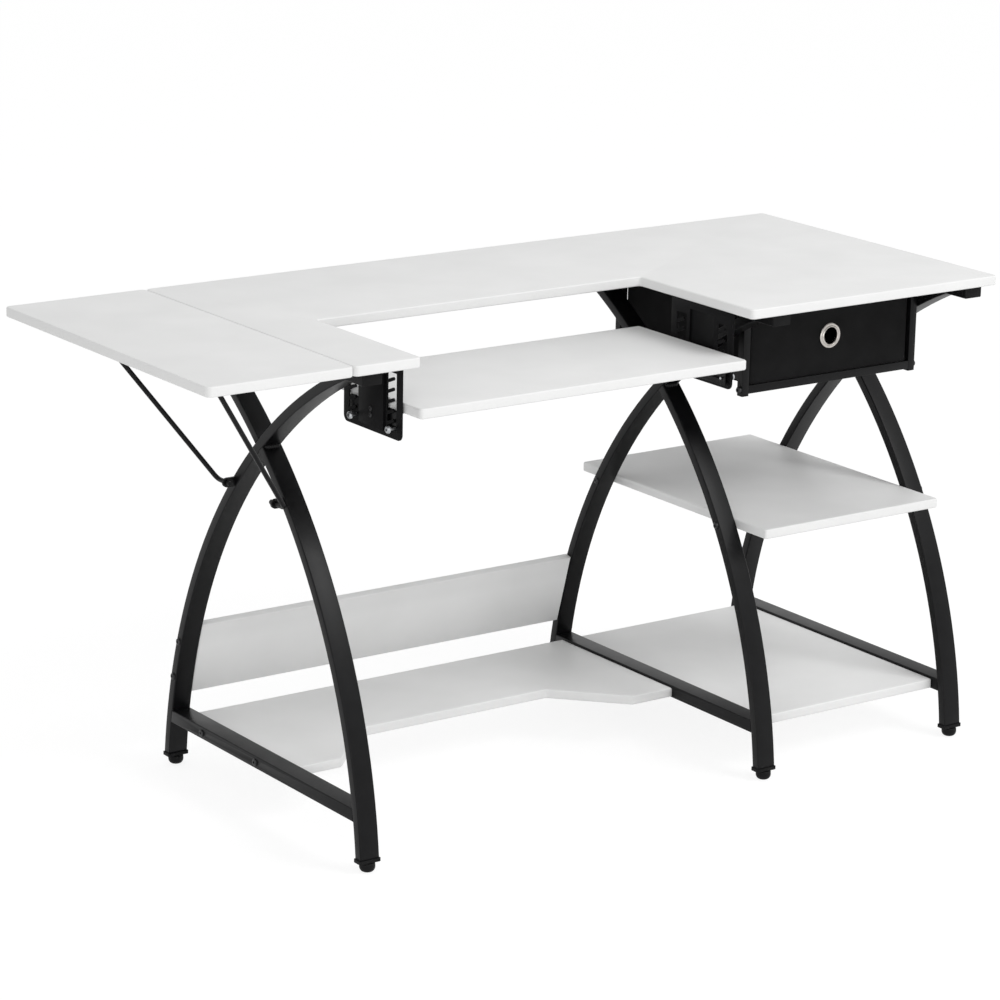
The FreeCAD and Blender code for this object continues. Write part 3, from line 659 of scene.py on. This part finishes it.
def shank_steps(mesh, seat, outward, axis, radius, steps):
    """Adds a fastener's round shank below its head, with the steps in radius that its points show."""
    profile = [(radius, 0)]
    for place, size in sorted(steps, key=lambda step: (-outward[axis] * step[0], -step[1])):
        rise = -abs(place - seat[axis])
        change = abs(profile[-1][1] - rise) + abs(profile[-1][0] - size)
        if size > weld_distance and change > step_size:
            profile.append((size, rise))
    profile.append((0, profile[-1][1]))
    lathe(mesh, profile, ring_steps, facing(seat, outward))


def hinge_screws():
    """Low domed screws in the hinge plates, seen from below."""
    for node, body, side in (("hinge_fixed_plates", "desk", 1), ("hinge_leaf_plates", "leaf", -1)):
        mesh = bmesh.new()
        for corners in islands(node):
            low, high = extent(corners)
            edge = high.x if side > 0 else low.x
            bottom = high.z - hinge_plate
            for share in hinge_screw_shares:
                place = Vector((edge - side * hinge_screw_inset, low.y + share * (high.y - low.y), bottom))
                ring = headed(mesh, place, (0, 0, -1), hinge_screw_radius, hinge_screw_height, "cross")
                mesh.faces.new(ring)
        obj = add_piece(node.replace("plates", "screws"), mesh, "zinc_steel", body)
        soften(obj, 0)


def pad_screws():
    """Two small screws on the raised pad of each hanger."""
    for node, side in (("left_hanger", -1), ("right_hanger", 1)):
        low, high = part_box(node)
        mesh = bmesh.new()
        face = high[0] - pad_face_offset if side < 0 else low[0] + pad_face_offset
        for rise in pad_screw_rises:
            place = Vector((face, (low[1] + high[1]) / 2, low[2] + rise))
            ring = headed(mesh, place, (side, 0, 0), pad_screw_radius, pad_screw_height, "cross")
            mesh.faces.new(ring)
        obj = add_piece(node + "_pad_screws", mesh, "black_bolt", "desk")
        soften(obj, 0)


# Glides and weld beads

def rounded_glides():
    """Glides with a rounded sole, each in place of the plain turned one."""
    for node in frame["nodes"]:
        if not node.startswith("glide_"):
            continue
        low, high = (Vector(corner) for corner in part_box(node))
        radius = (high.x - low.x) / 2
        profile = [(0, 0)]
        for step in range(glide_dome_steps + 1):
            angle = quarter_turn * step / glide_dome_steps
            reach = glide_sole + (radius - glide_sole) * math.sin(angle)
            profile.append((reach, glide_dome * (1 - math.cos(angle))))
        profile.append((glide_shoulder, glide_knob - glide_shoulder_drop))
        profile.append((glide_shoulder - glide_shoulder_round, glide_knob))
        profile.append((glide_stem, glide_knob))
        profile.append((glide_stem, high.z - low.z))
        profile.append((0, high.z - low.z))
        mesh = bmesh.new()
        middle = (low + high) / 2
        lathe(mesh, profile, glide_steps, Matrix.Translation((middle.x, middle.y, low.z)))
        obj = add_piece(node + "_rounded", mesh, "black_plastic", node + "_foot", node)
        soften(obj, 0)


def weld_beads():
    """Rippled weld beads along the front and back of each joint at the crossing of the legs."""
    for side in ("left", "middle", "right"):
        arched = bmesh.new()
        arched.from_mesh(frame["nodes"][side + "_back_leg"].data)
        surface = BVHTree.FromBMesh(arched)
        mesh = bmesh.new()
        for part in ("_front_leg_lower", "_front_leg_upper"):
            points = []
            for vertex in frame["nodes"][side + part].data.vertices:
                if surface.find_nearest(vertex.co, bead_reach)[0]:
                    points.append(vertex.co)
            low, high = extent(points)
            for limit in (low.y, high.y):
                near = [spot for spot in points if abs(spot.y - limit) < bead_radius]
                height = sum(spot.z for spot in near) / len(near)
                start = Vector((low.x + bead_end_inset, limit, height))
                bead(mesh, start, high.x - low.x - bead_end_inset * 2)
        arched.free()
        obj = add_piece(side + "_weld_beads", mesh, "black_tube", "desk")
        soften(obj, 0)


def bead(mesh, start, length):
    """Adds one weld bead along X, with the ripples of its runs and round ends."""
    count = round(length / bead_step)
    profile = [(0, 0)]
    for step in range(1, count):
        along = length * step / count
        end = min(along, length - along, bead_radius) / bead_radius
        ripple = bead_ripple_share * math.sin(math.tau * along / bead_ripple_pitch)
        profile.append((bead_radius * math.sqrt(end) * (1 + ripple), along))
    profile.append((0, length))
    lathe(mesh, profile, bead_sides, facing(start, (1, 0, 0)))


# Fabric drawer and its grommet

def grommet():
    """Eyelet in place of the CAD ring: a rolled lip round the hole, a low rim, and a barrel."""
    low, high = (Vector(corner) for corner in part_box("drawer_grommet"))
    outer = (high.x - low.x) / 2
    barrel = grommet_hole + grommet_barrel
    middle = Vector(((low.x + high.x) / 2, low.y + grommet_lip, (low.z + high.z) / 2))
    depth = low.y + grommet_lip - high.y
    profile = [(grommet_hole, depth)]
    for width, height in grommet_lip_shares:
        profile.append((grommet_hole + (outer - grommet_hole) * width, grommet_lip * height))
    profile.append((barrel, 0))
    profile.append((barrel, depth))
    profile.append(profile[0])
    mesh = bmesh.new()
    lathe(mesh, profile, grommet_steps, facing(middle, (0, -1, 0)))
    bmesh.ops.remove_doubles(mesh, verts=mesh.verts, dist=weld_distance)
    obj = add_piece("grommet_rolled", mesh, "nickel", "drawer", "drawer_grommet")
    soften(obj, 0)


def on_arc(x, y, radius, angle):
    """Point on a rounded corner about a centre."""
    return Vector((x + radius * math.cos(angle), y + radius * math.sin(angle)))


def drawer_outline(low, high, inset):
    """Points round the drawer's plan, with rounded corners and even spacing along the sides."""
    radius = max(fabric_corner - inset, fabric_inner_corner)
    left = low.x + inset + radius
    right = high.x - inset - radius
    front = low.y + inset + radius
    back = high.y - inset - radius
    centres = [(right, front, -quarter_turn), (right, back, 0),
               (left, back, quarter_turn), (left, front, math.pi)]
    points = []
    for index, (x, y, start) in enumerate(centres):
        for step in range(fabric_corner_steps + 1):
            points.append(on_arc(x, y, radius, start + quarter_turn * step / fabric_corner_steps))
        after_x, after_y, after_start = centres[(index + 1) % len(centres)]
        target = on_arc(after_x, after_y, radius, after_start)
        corner_end = points[-1].copy()
        for step in range(1, fabric_columns):
            points.append(corner_end.lerp(target, step / fabric_columns))
    return points


def bowed(point, height_share, low, high):
    """How far a wall leans in at a point: most at the middle of each panel."""
    across_x = (point.x - low.x) / (high.x - low.x)
    across_y = (point.y - low.y) / (high.y - low.y)
    on_side = min(across_x, 1 - across_x) < corner_share
    share = across_y if on_side else across_x
    wave = math.sin(math.pi * share) * math.sin(math.pi * height_share)
    ripple = ripple_share * math.sin(ripple_count * math.tau * share + ripple_lean * height_share)
    return fabric_bow * wave * (1 + ripple)


def cloth_ring(mesh, points, height, inset, bow_share, low, high):
    """Adds a ring of the drawer's wall at a height, set in by an inset and by a share of the wall's bow."""
    middle = (low + high) / 2
    height_share = (height - low.z) / (high.z - low.z)
    ring = []
    for point in points:
        offset = Vector((middle.x, middle.y)) - point
        inward = Vector((0, 0))
        if abs(offset.x) / (high.x - low.x) > abs(offset.y) / (high.y - low.y):
            inward.x = math.copysign(1, offset.x)
        else:
            inward.y = math.copysign(1, offset.y)
        moved = point + inward * (bowed(point, height_share, low, high) * bow_share + inset)
        ring.append(mesh.verts.new((moved.x, moved.y, height)))
    return ring


def fabric_drawer(low, high):
    """Soft-walled box: bowed panels, a folded hem round the rim, and a hole for the grommet."""
    mesh = bmesh.new()
    outer = drawer_outline(low, high, 0)
    inner = drawer_outline(low, high, fabric_wall)
    hem_bottom = high.z - hem_height
    levels = [low.z + (hem_bottom - low.z) * row / fabric_rows for row in range(fabric_rows + 1)]
    rings = []
    for height in levels:
        rings.append(cloth_ring(mesh, outer, height, hem_thickness, 1, low, high))
    for height in (hem_bottom, hem_bottom + hem_fold, high.z - hem_fold):
        rings.append(cloth_ring(mesh, outer, height, 0, hem_bow_share, low, high))
    rings.append(cloth_ring(mesh, outer, high.z, fabric_wall * hem_round_share, 0, low, high))
    rings.append(cloth_ring(mesh, inner, high.z, 0, 0, low, high))
    for height in reversed(levels):
        rings.append(cloth_ring(mesh, inner, max(height, low.z + fabric_wall), 0, 1, low, high))
    join_all(mesh, rings)
    mesh.faces.new(rings[0])
    mesh.faces.new(rings[-1])
    obj = add_piece("drawer_fabric", mesh, "black_fabric", "drawer", "drawer_bin")
    punch(obj, low.y)
    soften(obj, 0)


def punch(obj, front):
    """Cuts the grommet's hole through the drawer's front wall."""
    box_low, box_high = (Vector(corner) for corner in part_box("drawer_grommet"))
    middle = (box_low + box_high) / 2
    mesh = bmesh.new()
    start = Vector((middle.x, front - punch_margin, middle.z))
    reach = punch_margin * 2
    profile = [(0, 0), (punch_radius, 0), (punch_radius, reach), (0, reach)]
    lathe(mesh, profile, punch_steps, facing(start, (0, 1, 0)))
    bmesh.ops.recalc_face_normals(mesh, faces=mesh.faces)
    data = bpy.data.meshes.new("punch")
    mesh.to_mesh(data)
    mesh.free()
    tool = bpy.data.objects.new("punch", data)
    bpy.context.scene.collection.objects.link(tool)
    cut = obj.modifiers.new("hole", "BOOLEAN")
    cut.operation = "DIFFERENCE"
    cut.object = tool
    cut.solver = "EXACT"
    bpy.context.view_layer.update()
    graph = bpy.context.evaluated_depsgraph_get()
    made = bpy.data.meshes.new_from_object(obj.evaluated_get(graph))
    obj.modifiers.clear()
    obj.data = made
    bpy.data.objects.remove(tool)


def hem_stitches(low, high):
    """Row of stitches along the hem, outside the four walls."""
    mesh = bmesh.new()
    height = high.z - stitch_drop
    outline = drawer_outline(low, high, 0)
    travelled = 0.0
    for first, second in zip(outline, outline[1:] + outline[:1]):
        length = (second - first).length
        along = (second - first).normalized()
        place = -travelled % stitch_pitch
        while place + stitch_length < length:
            start = first + along * place
            stitch(mesh, Vector((start.x, start.y, height)), Vector((along.x, along.y, 0)))
            place += stitch_pitch
        travelled += length
    obj = add_piece("drawer_stitches", mesh, "thread", "drawer")
    soften(obj, 0)


def stitch(mesh, place, direction):
    """Adds one stitch: a short thread that dips into the cloth at both ends."""
    profile = [(stitch_radius * width, stitch_length * along) for width, along in stitch_shares]
    lathe(mesh, profile, stitch_sides, facing(place, direction))


# Studio

def floor():
    """Plain pale floor just below the feet."""
    mesh = bmesh.new()
    bmesh.ops.create_grid(mesh, x_segments=1, y_segments=1, size=floor_size)
    data = bpy.data.meshes.new("floor")
    mesh.to_mesh(data)
    mesh.free()
    obj = bpy.data.objects.new("floor", data)
    obj.location.z = -floor_drop
    bpy.context.scene.collection.objects.link(obj)
    material, tree, shader = new_tree("floor_paint")
    shader.inputs["Base Color"].default_value = (floor_tone_share, floor_tone_share, floor_tone_share, 1)
    shader.inputs["Roughness"].default_value = floor_roughness
    shader.inputs["Specular IOR Level"].default_value = 0
    glow = tree.nodes.new("ShaderNodeEmission")
    glow.inputs["Strength"].default_value = floor_glow_share
    shade = tree.nodes.new("ShaderNodeBsdfDiffuse")
    shade.inputs["Color"].default_value = (floor_shade_share, floor_shade_share, floor_shade_share, 1)
    seen = tree.nodes.new("ShaderNodeAddShader")
    tree.links.new(glow.outputs["Emission"], seen.inputs[0])
    tree.links.new(shade.outputs["BSDF"], seen.inputs[1])
    blend_seen(tree, shader.outputs["BSDF"], seen.outputs["Shader"], tree.nodes["Material Output"])
    data.materials.append(material)


def blend_seen(tree, lighting, seen, output):
    """Shows one shader to the camera, in mirror images and through glass, and lights by the other."""
    paths = tree.nodes.new("ShaderNodeLightPath")
    either = paths.outputs["Is Camera Ray"]
    for name in ("Is Glossy Ray", "Is Transmission Ray"):
        larger = tree.nodes.new("ShaderNodeMath")
        larger.operation = "MAXIMUM"
        tree.links.new(either, larger.inputs[0])
        tree.links.new(paths.outputs[name], larger.inputs[1])
        either = larger.outputs["Value"]
    blend = tree.nodes.new("ShaderNodeMixShader")
    tree.links.new(either, blend.inputs["Fac"])
    tree.links.new(lighting, blend.inputs[1])
    tree.links.new(seen, blend.inputs[2])
    tree.links.new(blend.outputs["Shader"], output.inputs["Surface"])


def sky():
    """White surround for the camera, and even soft light for the rest."""
    world = bpy.data.worlds.new("studio")
    bpy.context.scene.world = world
    world.use_nodes = True
    tree = world.node_tree
    light = tree.nodes["Background"]
    light.inputs["Color"].default_value = white
    light.inputs["Strength"].default_value = sky_strength
    seen = tree.nodes.new("ShaderNodeBackground")
    seen.inputs["Color"].default_value = white
    seen.inputs["Strength"].default_value = surround_strength
    blend_seen(tree, light.outputs["Background"], seen.outputs["Background"], tree.nodes["World Output"])


def area_light(name, place, size, power):
    """Square soft lamp that points at the desk."""
    data = bpy.data.lights.new(name, "AREA")
    data.shape = "SQUARE"
    data.size = size
    data.energy = power
    obj = bpy.data.objects.new(name, data)
    obj.location = place
    aim = Vector(light_target) - Vector(place)
    obj.rotation_euler = aim.to_track_quat("-Z", "Y").to_euler()
    bpy.context.scene.collection.objects.link(obj)


def camera():
    """Camera that sees the desk as the photograph does."""
    data = bpy.data.cameras.new("photo_camera")
    data.sensor_width = camera_sensor
    data.lens = camera_lens
    obj = bpy.data.objects.new("photo_camera", data)
    bpy.context.scene.collection.objects.link(obj)
    turn = Matrix.Rotation(camera_azimuth, 4, "Z")
    tilt = Matrix.Rotation(quarter_turn - camera_elevation, 4, "X")
    roll = Matrix.Rotation(camera_roll, 4, "Z")
    obj.matrix_world = Matrix.Translation(camera_place) @ turn @ tilt @ roll
    bpy.context.scene.camera = obj


dress_nodes()
detailed_fasteners("frame_bolts", along_x, "socket", "black_bolt", "desk")
detailed_fasteners("drawer_rail_bolts", along_x, "socket", "black_bolt", "desk")
detailed_fasteners("platform_pins", along_x, "socket", "zinc_steel", "platform")
detailed_fasteners("hanger_screws", along_z, "cross", "zinc_steel", "desk")
detailed_fasteners("platform_screws", along_z, "cross", "zinc_steel", "platform")
detailed_fasteners("top_rail_screws", along_z, "cross", "zinc_steel", "desk")
detailed_fasteners("drawer_frame_screws", along_z, "cross", "zinc_steel", "desk")
hinge_screws()
pad_screws()
rounded_glides()
weld_beads()
grommet()
drawer_low, drawer_high = (Vector(corner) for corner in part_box("drawer_bin"))
fabric_drawer(drawer_low, drawer_high)
hem_stitches(drawer_low, drawer_high)
floor()
sky()
area_light("key", key_place, key_size, key_power)
area_light("fill", fill_place, fill_size, fill_power)
camera()
bpy.context.scene.view_settings.view_transform = "Standard"
